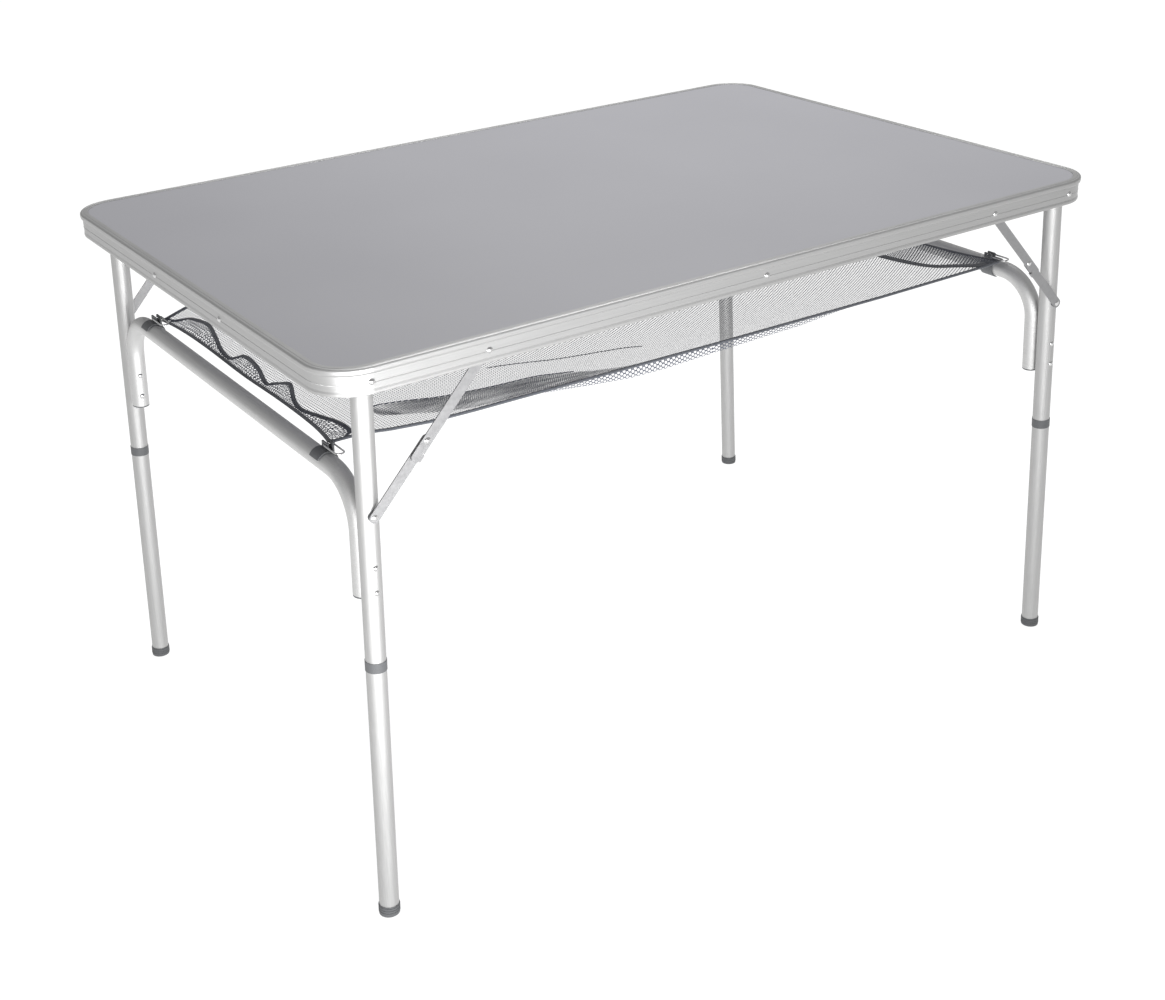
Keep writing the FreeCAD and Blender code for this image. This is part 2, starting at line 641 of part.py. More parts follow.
def make_rings(side, side_name):
    """A long wire ring through the ears of each clip, both lying towards the front."""
    rings = []
    reach = ring_reach(side)
    for own in (-1, 1):
        radius, straight = size("ring_radius"), size("ring_straight")
        centre = Vector(size("ring_x"), own * size("clip_y") + reach * (radius - 2),
                        size("ring_rise") - size("crossbar_drop"))
        pieces = []
        for shift, turn in ((0, 0 if reach < 0 else 180), (straight, 180 if reach < 0 else 0)):
            bend = doc.addObject("Part::Torus", "ring_end")
            bend.setExpression("Radius1", "dims.ring_radius")
            bend.setExpression("Radius2", "dims.ring_wire")
            bend.Angle3 = 180
            middle = centre + Vector(0, reach * shift, 0)
            bend.Placement = Placement(middle, Rotation(Vector(0, 0, 1), turn))
            pieces.append(bend)
        for x in (centre.x - radius, centre.x + radius):
            pieces.append(rod("dims.ring_wire", 0, straight, along_y(x, centre.y, centre.z, reach)))
        rings.append(fuse(pieces))
    node(f"{side_name}_net_rings", group(rings), frame_place(side))


def make_lower_leg(side, side_name, face, face_name):
    """The plug-in lower leg: a collar with a spigot, the tube, and a ribbed foot cut level."""
    own = own_face(side, face)
    name = f"{face_name}_{side_name}"
    leg = down_leg(own, 0)
    middle, half = size("collar_drop"), size("collar_length") / 2
    length = LEG_DROP / math.cos(math.radians(TOE_OUT))
    bore = "dims.tube_radius - dims.tube_wall - dims.slip_gap"

    outer, inner = tube("dims.tube_radius", -length + size("foot_floor") + 1, -middle - half, leg)
    node(f"{name}_lower_leg", cut(outer, [inner]), frame_place(side))

    band = rod("dims.collar_radius", -middle - half + 0.05, -middle + half - 0.05, leg)
    spigot = rod(bore, -middle - 30, -middle + half + size("spigot_length"), leg)
    hollow = rod("dims.tube_radius - dims.tube_wall - 2", -middle - 31,
                 -middle + half + size("spigot_length") + 1, leg)
    node(f"{name}_leg_collar", cut(fuse([band, spigot]), [hollow]), frame_place(side))

    cup = rod("dims.foot_radius", -length - 3, -length + size("foot_length"), leg)
    ribs = []
    for step in range(3):
        low = -length + 3 + step * 3.6
        ribs.append(rod("dims.foot_radius + dims.foot_rib", low, low + 1.8, leg))
    socket = cut(rod("dims.tube_radius + 0.05", -length + size("foot_floor") + 0.9, 1 - length + 40, leg),
                 [rod(bore, -length, -length + size("foot_plug"), leg)])
    core = rod(bore, -length - 3, -length + size("foot_plug"), leg)
    floor = box("80", "80", "30", frame_place(side).inverse().multiply(
        Placement(Vector(side * size("foot_x"), face * size("foot_y"), -30), Rotation())))
    foot = cut(fuse([cut(fuse([cup] + ribs), [socket]), core]), [floor])
    node(f"{name}_foot", foot, frame_place(side))


# ------------------------------------------------------------------ braces


def brace_points(side):
    """Rim pivot, straight length and slope of a brace at rest, and the lengths of its two bars."""
    pivot = Vector(side * size("brace_pivot_x"), 0, PIVOT_Z)
    rivet = frame_place(side).multVec(Vector(0, 0, -size("brace_rivet_drop")))
    span = (rivet - pivot).Length
    direction = (rivet - pivot) * (1 / span)
    upper = (span + size("fold_offset")) / 2
    return pivot, direction, upper, span - upper


def bar_place(start, direction, y):
    """A bar's own X runs down the brace, and its thickness along +Y."""
    angle = math.degrees(math.atan2(-direction.z, direction.x))
    return Placement(Vector(start.x, y, start.z), Rotation(Vector(0, 1, 0), angle))


def inner_y(face, low):
    """Y of the lower face of a layer whose inside is a distance from the middle."""
    return low if face > 0 else -low - size("bar_thickness")


def make_bar(label, tail, length, place, stop=None):
    """A round-ended bar with a running hole at its own origin and a tight one at its far rivet."""
    body = doc.addObject("PartDesign::Body", "bar")
    sketch = new_sketch(body, "XZ_Plane")
    bar_outline(sketch, length + tail, size("bar_width") / 2,
                {"length": f"{length} + {tail}", "half_width": "dims.bar_width / 2"})
    circle(sketch, 0, "dims.rivet_radius + dims.running_gap")
    circle(sketch, length, "dims.rivet_radius", f"{length}")
    pad(body, sketch, "dims.bar_thickness", reverse=True)
    if stop is None:
        return node(label, body, place)
    return node(label, add_stop(body, length, *stop), place)


def add_stop(bar, elbow, edge, inward):
    """A tab bent from the bar's tail over the other bar's edge, beside a small relief hole."""
    thick, wall, half = size("bar_thickness"), size("stop_wall"), size("bar_width") / 2
    layers = size("upper_bar_y") - size("lower_bar_y") + thick - 0.3
    start = elbow + size("stop_reach")
    pieces = [bar]
    for low, depth in ((half - 0.5, thick), (half + 0.05, layers)):
        height = half + 0.05 + wall - low
        piece = doc.addObject("Part::Box", "tab")
        piece.setExpression("Length", "dims.stop_length")
        piece.Width = depth
        piece.Height = height
        foot_y = 0 if inward > 0 else thick - depth
        foot_z = low if edge > 0 else -low - height
        piece.Placement = Placement(Vector(start, foot_y, foot_z), Rotation())
        pieces.append(piece)
    relief = rod("dims.stop_relief", -9, 9, along_y(start - 1, 0, edge * (half - 0.9), 1))
    return cut(fuse(pieces), [relief])


def make_brace(side, side_name, face, face_name):
    pivot, direction, upper, lower = brace_points(side)
    middle = pivot + direction * upper
    end = pivot + direction * (upper + lower)
    name = f"{face_name}_{side_name}"
    stop_edge = 1 if side < 0 else -1
    make_bar(f"{name}_upper_brace", size("bar_tail"), upper,
             bar_place(pivot, direction, inner_y(face, size("upper_bar_y"))), (stop_edge, -face))
    make_bar(f"{name}_lower_brace", 0, lower,
             bar_place(middle, direction, inner_y(face, size("lower_bar_y"))))

    flat, thick = size("flat_head_height"), size("bar_thickness")
    low, high = size("lower_bar_y"), size("upper_bar_y")
    middle_pin = along_y(middle.x, 0, middle.z, face)
    outside = along_y(middle.x, face * (high + thick + 0.02), middle.z, face)
    node(f"{name}_brace_elbow_rivet", fuse([
        rod("dims.rivet_radius", low - 0.1, high + thick + 0.02, middle_pin),
        rod("dims.rivet_head_radius", low - 0.1 - flat, low - 0.1, middle_pin),
        rod("dims.rivet_head_radius", low + thick + 0.1, high - 0.02, middle_pin),
        dome("dims.rivet_head_radius", "dims.elbow_head_height", outside),
    ]))
    end_pin = along_y(end.x, 0, end.z, face)
    outside = along_y(end.x, face * (low + thick), end.z, face)
    node(f"{name}_brace_leg_rivet", fuse([
        rod("dims.rivet_radius", low, low + thick, end_pin),
        dome("dims.rivet_head_radius", "dims.end_head_height", outside),
    ]))


# ------------------------------------------------------------------ storage net


def net_section(x, sag):
    """A thin band across the table, hanging in an arc of the given sag."""
    half, top, thick = size("net_half_width"), size("net_height"), size("net_thickness")
    upper = [Vector(x, -half, top), Vector(x, 0, top - sag), Vector(x, half, top)]
    lower = [p - Vector(0, 0, thick) for p in upper]
    edges = [
        Part.Arc(*upper).toShape(),
        Part.makeLine(upper[2], lower[2]),
        Part.Arc(lower[2], lower[1], lower[0]).toShape(),
        Part.makeLine(lower[0], upper[0]),
    ]
    return Part.Wire(edges)


def make_net():
    """The storage net: tight along the crossbars and sagging towards the middle."""
    length, sag = size("net_half_length"), size("net_sag")
    stations = [-1, -0.5, 0, 0.5, 1]
    sections = [net_section(s * length, 3 + (sag - 3) * (1 - s * s)) for s in stations]
    made = doc.addObject("Part::Feature", "net")
    made.Shape = Part.makeLoft(sections, True, False)
    node("storage_net", made)


# ------------------------------------------------------------------ assembly

make_board()
make_rim()
make_beam()
make_rim_fasteners()
make_joiner()
make_net()
for side_name, side in SIDES.items():
    make_crossbar(side, side_name)
    make_leg_plugs(side, side_name)
    make_frame_bolts(side, side_name)
    make_saddles(side, side_name)
    make_rings(side, side_name)
    for face_name, face in FACES.items():
        make_upper_leg(side, side_name, face, face_name)
        make_lower_leg(side, side_name, face, face_name)
        make_clip(side, side_name, face, face_name)
        make_brace(side, side_name, face, face_name)

doc.recompute()
for made in doc.Objects:
    if "Invalid" in made.State or "Error" in made.State:
        raise RuntimeError(f"{made.Label} ({made.TypeId}) is {made.State}")
for label, made in parts.items():
    if made.Shape.isNull() or not made.Shape.isValid() or not made.Shape.Solids:
        raise RuntimeError(f"{label} has no valid solid")

os.makedirs("parts", exist_ok=True)
for label, made in parts.items():
    made.Shape.exportStep(os.path.join("parts", f"{label}.step"))
    print(f"{label}: {len(made.Shape.Solids)} solids, {made.Shape.Volume / 1000:.2f} cm3")
print(f"{len(parts)} nodes")
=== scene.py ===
"""Looks of a folding camp kitchen table: metal, laminate, the mesh storage net, light and camera.

All sizes are in metres, in the table's own frame: the origin on the floor under the middle of
the top, +X along the long side, -Y towards the front and +Z up.
"""

import json
import math

import bpy
import numpy as np
from mathutils import Matrix, Vector


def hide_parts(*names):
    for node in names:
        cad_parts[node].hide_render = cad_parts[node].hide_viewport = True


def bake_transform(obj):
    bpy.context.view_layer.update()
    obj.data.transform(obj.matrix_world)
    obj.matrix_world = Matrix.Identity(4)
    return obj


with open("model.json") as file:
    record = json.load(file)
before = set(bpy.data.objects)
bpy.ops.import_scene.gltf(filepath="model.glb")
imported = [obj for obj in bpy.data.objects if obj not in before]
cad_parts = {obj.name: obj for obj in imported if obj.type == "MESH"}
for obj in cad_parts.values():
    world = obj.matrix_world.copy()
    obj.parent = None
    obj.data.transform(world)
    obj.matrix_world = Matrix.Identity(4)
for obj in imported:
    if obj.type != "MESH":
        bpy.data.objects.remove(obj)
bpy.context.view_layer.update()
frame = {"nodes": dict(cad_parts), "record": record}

# ------------------------------------------------------------------ camera

CAMERA_PLACE = Vector((-1.2634, -1.8718, 1.3789))
CAMERA_AZIMUTH, CAMERA_ELEVATION, CAMERA_ROLL = -33.65, 26.64, -1.78  # degrees
CAMERA_LENS, SENSOR_WIDTH = 51.0, 36.0  # millimetres


def add_camera():
    data = bpy.data.cameras.new("camera")
    data.lens, data.sensor_width = CAMERA_LENS, SENSOR_WIDTH
    data.clip_start, data.clip_end = 0.05, 60
    camera = bpy.data.objects.new("camera", data)
    bpy.context.collection.objects.link(camera)
    turn = Matrix.Rotation(math.radians(CAMERA_AZIMUTH), 4, "Z")
    tip = Matrix.Rotation(math.radians(90 - CAMERA_ELEVATION), 4, "X")
    roll = Matrix.Rotation(math.radians(CAMERA_ROLL), 4, "Z")
    camera.matrix_world = Matrix.Translation(CAMERA_PLACE) @ turn @ tip @ roll
    bpy.context.scene.camera = camera


# ------------------------------------------------------------------ materials


class Surface:
    """A node material under construction: a Principled shader and what feeds it."""

    def __init__(self, name, colour, roughness, metallic=0.0, **sockets):
        self.material = bpy.data.materials.new(name)
        self.material.use_nodes = True
        self.tree = self.material.node_tree
        self.shader = self.tree.nodes["Principled BSDF"]
        self.set(Base_Color=(*colour, 1), Roughness=roughness, Metallic=metallic, **sockets)
        self.height = None

    def set(self, **sockets):
        for name, value in sockets.items():
            self.shader.inputs[name.replace("_", " ")].default_value = value

    def node(self, kind, **settings):
        made = self.tree.nodes.new(kind)
        for name, value in settings.items():
            if hasattr(made, name):
                setattr(made, name, value)
            else:
                made.inputs[name.replace("_", " ")].default_value = value
        return made

    def link(self, output, target):
        self.tree.links.new(output, target)

    def place(self, scale):
        """Object coordinates, stretched by a scale along each axis."""
        coordinates = self.node("ShaderNodeTexCoord")
        mapping = self.node("ShaderNodeMapping")
        mapping.inputs["Scale"].default_value = scale
        self.link(coordinates.outputs["Object"], mapping.inputs["Vector"])
        return mapping.outputs["Vector"]

    def noise(self, scale, size=(1, 1, 1), detail=3.0):
        made = self.node("ShaderNodeTexNoise", Scale=scale, Detail=detail)
        self.link(self.place(size), made.inputs["Vector"])
        return made.outputs["Fac"]

    def wave(self, scale, direction, distortion=0.0):
        made = self.node("ShaderNodeTexWave", Scale=scale, Distortion=distortion)
        made.bands_direction = direction
        self.link(self.place((1, 1, 1)), made.inputs["Vector"])
        return made.outputs["Fac"]

    def ramp(self, value, stops):
        """A colour for each position along 0 to 1."""
        made = self.node("ShaderNodeValToRGB")
        elements = made.color_ramp.elements
        for number, (position, colour) in enumerate(stops):
            element = elements[number] if number < 2 else elements.new(position)
            element.position = position
            element.color = (*colour, 1)
        self.link(value, made.inputs["Fac"])
        return made.outputs["Color"]

    def spread(self, value, low, high):
        """A value from 0 to 1, spread between two numbers."""
        made = self.node("ShaderNodeMapRange")
        made.inputs["To Min"].default_value = low
        made.inputs["To Max"].default_value = high
        self.link(value, made.inputs["Value"])
        return made.outputs["Result"]

    def colour_from(self, output):
        self.link(output, self.shader.inputs["Base Color"])

    def roughness_from(self, output):
        self.link(output, self.shader.inputs["Roughness"])

    def bump(self, output, distance, strength=1.0):
        """Adds a layer of relief of that depth."""
        made = self.node("ShaderNodeBump", Distance=distance, Strength=strength)
        self.link(output, made.inputs["Height"])
        if self.height is not None:
            self.link(self.height, made.inputs["Normal"])
        self.height = made.outputs["Normal"]
        self.link(self.height, self.shader.inputs["Normal"])


def laminate():
    """Smooth grey melamine on the board: an even colour with a faint orange-peel surface."""
    made = Surface("grey_laminate", (0.33, 0.33, 0.35), 0.42, Specular_IOR_Level=0.45)
    patches = made.noise(3.0, detail=2.0)
    made.colour_from(made.ramp(patches, [(0.25, (0.322, 0.321, 0.344)), (0.75, (0.342, 0.341, 0.364))]))
    specks = made.noise(900.0, detail=2.0)
    made.roughness_from(made.spread(specks, 0.38, 0.48))
    made.bump(made.noise(260.0, detail=3.0), 0.00006)
    return made.material


def extruded_aluminium():
    """Satin anodised edge with die lines that run round the table."""
    made = Surface("satin_edge_aluminium", (0.38, 0.38, 0.38), 0.42, metallic=0.6)
    lines = made.noise(1.0, size=(6, 6, 2600), detail=4.0)
    made.colour_from(made.ramp(lines, [(0.3, (0.355, 0.355, 0.354)), (0.7, (0.405, 0.405, 0.403))]))
    made.roughness_from(made.spread(made.noise(30.0, size=(1, 1, 8)), 0.34, 0.46))
    made.bump(lines, 0.00005)
    return made.material


def satin_tube(name, along_y, shade):
    """Drawn tube: satin anodised, with a soft grain along its length and faint handling marks."""
    made = Surface(name, (shade, shade, shade), 0.53, metallic=0.85)
    grain = made.noise(1.0, size=(900, 9, 900) if along_y else (900, 900, 9), detail=3.0)
    low, high = shade * 0.94, shade * 1.06
    made.colour_from(made.ramp(grain, [(0.3, (low, low, low * 0.995)), (0.7, (high, high, high * 0.995))]))
    made.roughness_from(made.spread(made.noise(45.0), 0.48, 0.58))
    made.bump(grain, 0.00003)
    return made.material


def plated_strip():
    """Zinc-plated steel strip: dull, with a fine crystal mottle."""
    made = Surface("zinc_plated_strip", (0.3, 0.3, 0.305), 0.4, metallic=0.75)
    mottle = made.noise(240.0, detail=4.0)
    made.colour_from(made.ramp(mottle, [(0.3, (0.28, 0.28, 0.285)), (0.7, (0.32, 0.32, 0.325))]))
    made.roughness_from(made.spread(mottle, 0.34, 0.48))
    made.bump(made.noise(700.0), 0.00002)
    return made.material


def bright_steel():
    """Polished rivets, bolts and rings."""
    made = Surface("bright_steel", (0.66, 0.66, 0.66), 0.14, metallic=1.0)
    marks = made.noise(500.0, detail=4.0)
    made.roughness_from(made.spread(marks, 0.1, 0.22))
    made.bump(marks, 0.00003)
    return made.material


def moulded_plastic():
    """Dark grey mouldings with a fine spark-eroded grain."""
    made = Surface("dark_moulded_plastic", (0.1, 0.103, 0.107), 0.5, Specular_IOR_Level=0.5)
    grain = made.noise(1500.0, detail=2.0)
    made.colour_from(made.ramp(grain, [(0.3, (0.088, 0.091, 0.096)), (0.7, (0.125, 0.129, 0.135))]))
    made.roughness_from(made.spread(grain, 0.42, 0.6))
    made.bump(grain, 0.00008)
    return made.material


def net_thread():
    """Grey-blue multifilament thread: a fine twist and a little sheen."""
    made = Surface("net_thread", (0.06, 0.07, 0.1), 0.62, Sheen_Weight=0.1, Sheen_Roughness=0.5)
    twist = made.noise(1800.0, detail=2.0)
    made.colour_from(made.ramp(twist, [(0.3, (0.045, 0.053, 0.078)), (0.7, (0.085, 0.096, 0.13))]))
    made.bump(twist, 0.0002)
    return made.material


def binding_tape():
    """Dark woven tape, ribbed across, round the net's edges."""
    made = Surface("binding_tape", (0.06, 0.065, 0.08), 0.7, Sheen_Weight=0.35, Sheen_Roughness=0.5)
    ribs = made.wave(260.0, "DIAGONAL", distortion=1.0)
    made.colour_from(made.ramp(ribs, [(0.2, (0.045, 0.05, 0.062)), (0.8, (0.1, 0.107, 0.125))]))
    made.bump(ribs, 0.0002)
    made.bump(made.noise(2500.0), 0.0001)
    return made.material


def pale_floor():
    """A white sweep, lit from below so that it stays white."""
    made = Surface("pale_floor", (0.2, 0.2, 0.2), 0.9, Emission_Color=(1, 1, 1, 1), Emission_Strength=0.93)
    made.colour_from(made.ramp(made.noise(0.6), [(0.2, (0.19, 0.19, 0.19)), (0.8, (0.21, 0.21, 0.21))]))
    return made.material


def paint_frame():
    """Gives every CAD node its finish, by the material slot that the record names for it."""
    by_slot = {
        "board": laminate(),
        "aluminium": satin_tube("satin_tube_aluminium", False, 0.47),
        "steel": bright_steel(),
        "zinc": plated_strip(),
        "plastic": moulded_plastic(),
        "net": net_thread(),
    }
    by_node = {"edge_rim": extruded_aluminium()}
    # Painted light: the crossbars get a lighter copy of the tube finish (0.58 against 0.47 on the legs),
    # standing in for the light that falls on their bends.
    by_node["left_crossbar"] = by_node["right_crossbar"] = satin_tube("satin_crossbar_painted_lighter", True, 0.58)
    for part in frame["record"]["subparts"]:
        finish = by_node.get(part["node"], by_slot[part["material_slot"]])
        for slot in frame["nodes"][part["node"]].material_slots:
            slot.material = finish


# ------------------------------------------------------------------ storage net

END_MIDDLE, END_CORNER = 0.525, 0.538  # the end hems, from the middle: their middles and corners
HALF_WIDTH = 0.290
EDGE_WIDTH = [(-0.54, 0.256), (-0.53, 0.259), (-0.51, 0.266), (-0.47, 0.279), (-0.42, 0.288),
              (-0.36, 0.290), (0.54, 0.290)]  # half the width along X: the left corners are drawn in
EDGE_LINE = [(-0.54, 0.588), (-0.50, 0.594), (-0.30, 0.592), (0.0, 0.588), (0.30, 0.586),
             (0.50, 0.587), (0.54, 0.588)]  # height of the long edges along X
END_SAG, MIDDLE_SAG = 0.005, 0.058
CELL = 0.0029  # side of one hexagon of the mesh
PITCH, ROW = 1.5 * CELL, 0.866 * CELL  # between threads along X, and between rows of links along Y
THREAD, LINK = 0.0015, 0.0014  # their widths

# The narrow pocket along the left end: its free edge stands up in three waves. (x, y, z)
POCKET_EDGE = [
    (-0.528, 0.254, 0.586), (-0.522, 0.247, 0.587), (-0.516, 0.238, 0.590), (-0.510, 0.227, 0.593),
    (-0.505, 0.200, 0.596), (-0.504, 0.173, 0.597), (-0.510, 0.141, 0.594), (-0.519, 0.100, 0.588),
    (-0.521, 0.066, 0.587), (-0.511, 0.050, 0.593), (-0.509, 0.030, 0.594), (-0.512, -0.003, 0.592),
    (-0.520, -0.042, 0.587), (-0.516, -0.056, 0.590), (-0.507, -0.080, 0.596),
    (-0.508, -0.092, 0.595), (-0.517, -0.118, 0.588), (-0.520, -0.146, 0.586),
    (-0.512, -0.180, 0.587), (-0.504, -0.212, 0.588), (-0.505, -0.242, 0.588), (-0.520, -0.256, 0.588),
]
# The pleat on the belly near the left front: its free edge and its fold. (x, y)
PLEAT_EDGE = [(-0.451, -0.180), (-0.425, -0.168), (-0.385, -0.168), (-0.348, -0.176),
              (-0.290, -0.175), (-0.252, -0.171), (-0.204, -0.166), (-0.180, -0.175),
              (-0.154, -0.194), (-0.120, -0.288)]
PLEAT_FOLD = [(-0.451, -0.217), (-0.421, -0.235), (-0.373, -0.269), (-0.339, -0.286), (-0.120, -0.288)]
# Painted shade: a thin dark strip of binding tape laid along a crease that runs down the belly, standing
# in for the fold's shade; the sheet itself is not folded there. (x, y)
CREASE_SHADE_LINE = [(-0.213, -0.069), (-0.170, -0.076), (-0.124, -0.089), (-0.073, -0.104), (-0.025, -0.124),
          (-0.004, -0.140)]
# The tape sewn across near the right end, from its front corner to the middle. (x, y)
SEWN_TAPE = [(0.512, -0.287), (0.497, -0.281), (0.480, -0.257), (0.466, -0.234), (0.461, -0.200),
             (0.460, -0.100), (0.460, 0.0)]
# The loose hem that hangs below the front edge: its lower line. (x, z)
LOOSE_HEM = [(-0.262, 0.589), (-0.192, 0.581), (-0.129, 0.5755), (-0.080, 0.5745), (0.0, 0.5765),
             (0.104, 0.5785), (0.152, 0.579), (0.247, 0.586)]
LIFT = 0.0011  # one layer of net above another
PIPING, CORNER_CORD, END_HEM = (0.0042, 0.0042), (0.0045, 0.0016), (0.006, 0.0026)  # width, thickness
POCKET_TAPE, RIGHT_TAPE, FINE_SEAM = (0.0058, 0.0016), (0.016, 0.0014), (0.0016, 0.0012)
POCKET_DEPTH, POCKET_BULGE = 0.026, 0.003
HEM_DEPTH, HEM_BULGE = 0.013, 0.0022
RIGHT_LAYER_START = 0.455  # where the doubled field at the right begins


def end_line(v):
    """Distance of the end hem from the middle, for a place across from -1 to 1."""
    return END_MIDDLE + (END_CORNER - END_MIDDLE) * np.abs(v) ** 4


def half_width(x):
    places, widths = zip(*EDGE_WIDTH)
    return np.interp(x, places, widths)


def edge_height(x):
    places, heights = zip(*EDGE_LINE)
    return np.interp(x, places, heights)


def net_height(x, y):
    """The net's surface: long edges held nearly level, the middle sagging between them."""
    sag = END_SAG + MIDDLE_SAG * (1 - np.minimum(np.abs(x / END_CORNER), 1) ** 2.4)
    across = np.minimum(np.abs(y) / half_width(x), 1)
    ripple = 0.0012 * np.sin(x * 38 + y * 9) * np.sin(y * 21 + 0.7)
    return edge_height(x) - sag * (1 - across**2) + ripple * (1 - across)


def on_net(x, y, lift=0.0):
    return np.stack([x, y, net_height(x, y) + lift], axis=-1)


def line_on_net(points, count, lift=0.0):
    """A smooth line on the net through (x, y) points."""
    line = curve_through(points, count)
    return on_net(line[:, 0], line[:, 1], lift)


def add_mesh(name, vertices, faces, material, smooth_shade=True):
    data = bpy.data.meshes.new(name)
    data.from_pydata(np.asarray(vertices).reshape(-1, 3).tolist(), [], faces)
    data.update()
    if smooth_shade:
        data.shade_smooth()
    made = bpy.data.objects.new(name, data)
    bpy.context.collection.objects.link(made)
    made.data.materials.append(material)
    return made


def knitted(name, surface, length, width, material, keep=None):
    """A knitted hexagon mesh on a surface that maps (along X, across) from 0 to 1 to space.

    Threads zigzag across, and each row links them in pairs, to one side and then to the other.
    Where keep is given, only the cells whose middle it accepts are made.
    """
    columns, rows = max(int(length / PITCH), 2), max(int(width / ROW), 2)
    i, j = np.meshgrid(np.arange(columns + 1), np.arange(rows + 1), indexing="ij")
    pull = np.where((i + j) % 2 == 0, 0.25, -0.25) * CELL  # each thread leans to its link
    along = i * PITCH + pull
    across = j * ROW
    corners = []
    for side, end in ((-1, -1), (1, -1), (1, 1), (-1, 1)):
        s = np.clip((along + side * THREAD / 2) / (columns * PITCH), 0, 1)
        t = np.clip((across + end * LINK / 2) / (rows * ROW), 0, 1)
        corners.append(surface(s, t))
    vertices = np.stack(corners, axis=2)  # column, row, corner, xyz
    first = (np.arange((columns + 1) * (rows + 1)) * 4).reshape(columns + 1, rows + 1)
    knots = np.stack([first, first + 1, first + 2, first + 3], axis=-1).reshape(-1, 4)
    near, far = first[:, :-1], first[:, 1:]
    threads = np.stack([near + 3, near + 2, far + 1, far], axis=-1).reshape(-1, 4)
    linked = ((i + j) % 2 == 0)[:-1, :]
    left, right = first[:-1, :][linked], first[1:, :][linked]
    links = np.stack([left + 1, right, right + 3, left + 2], axis=-1)
    faces = np.concatenate([knots, threads, links])
    spots = vertices.reshape(-1, 3)
    if keep is not None:
        middle = spots[faces].mean(axis=1)
        faces = faces[keep(middle[:, 0], middle[:, 1])]
        used, renumbered = np.unique(faces, return_inverse=True)
        spots, faces = spots[used], renumbered.reshape(-1, 4)
    return add_mesh(name, spots, faces.tolist(), material)


def tape(name, line, width, thickness, material, lay=(0, 0, 1), sides=8):
    """A flat bound edge: a rounded strip swept along a line, its flat side facing lay."""
    line = np.asarray(line, float)
    ahead = np.gradient(line, axis=0)
    ahead /= np.linalg.norm(ahead, axis=1, keepdims=True)
    over = np.asarray(lay, float) - ahead * (ahead @ np.asarray(lay, float))[:, None]
    over /= np.linalg.norm(over, axis=1, keepdims=True)
    beside = np.cross(ahead, over)
    turn = np.linspace(0, 2 * np.pi, sides, endpoint=False)
    ring = (beside[:, None] * (np.cos(turn) * width / 2)[None, :, None]
            + over[:, None] * (np.sin(turn) * thickness / 2)[None, :, None])
    vertices = (line[:, None] + ring).reshape(-1, 3)
    count = len(line)
    faces = []
    for step in range(count - 1):
        for side in range(sides):
            following = (side + 1) % sides
            faces.append((step * sides + side, step * sides + following,
                          (step + 1) * sides + following, (step + 1) * sides + side))
    caps = [tuple(range(sides))[::-1], tuple(range((count - 1) * sides, count * sides))]
    return add_mesh(name, vertices, faces + caps, material)


def curve_through(points, count):
    """A smooth line through a few points, by Catmull-Rom."""
    points = np.asarray(points, float)
    padded = np.vstack([2 * points[0] - points[1], points, 2 * points[-1] - points[-2]])
    spans = len(points) - 1
    place = np.linspace(0, spans - 1e-9, count)
    k = place.astype(int)
    t = (place - k)[:, None]
    a, b, c, d = padded[k], padded[k + 1], padded[k + 2], padded[k + 3]
    return 0.5 * (2 * b + (c - a) * t + (2 * a - 5 * b + 4 * c - d) * t**2
                  + (3 * b - a - 3 * c + d) * t**3)


SIDES = {"left": -1, "right": 1}
FACES = {"front": -1, "back": 1}


def follow(piece):
    """Bakes the piece's placement into its mesh."""
    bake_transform(piece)


def make_edges(side_name, binding):
    """The piping along the long edges, the end hem, and the corner cords tied to the rings."""
    side = SIDES[side_name]
    pieces = []
    for face_name, face in FACES.items():
        x = side * np.linspace(0, END_CORNER, 140)
        line = on_net(x, face * half_width(x))
        pieces.append(tape(f"net_{side_name}_{face_name}_piping", line, *PIPING, binding))
        corner = face * float(half_width(np.array(side * END_CORNER)))
        cord = curve_through([
            (side * 0.528, corner, 0.588), (side * 0.5355, corner - face * 0.002, 0.5885),
            (side * 0.538, face * 0.266, 0.591), (side * 0.5395, face * 0.262, 0.5895)], 24)
        pieces.append(tape(f"net_{side_name}_{face_name}_corner_loop", cord, *CORNER_CORD, binding))
    v = np.linspace(-1, 1, 110)
    hem_x = side * end_line(v)
    hem = on_net(hem_x, v * half_width(hem_x))
    pieces.append(tape(f"net_{side_name}_end_hem", hem, *END_HEM, binding))
    return pieces


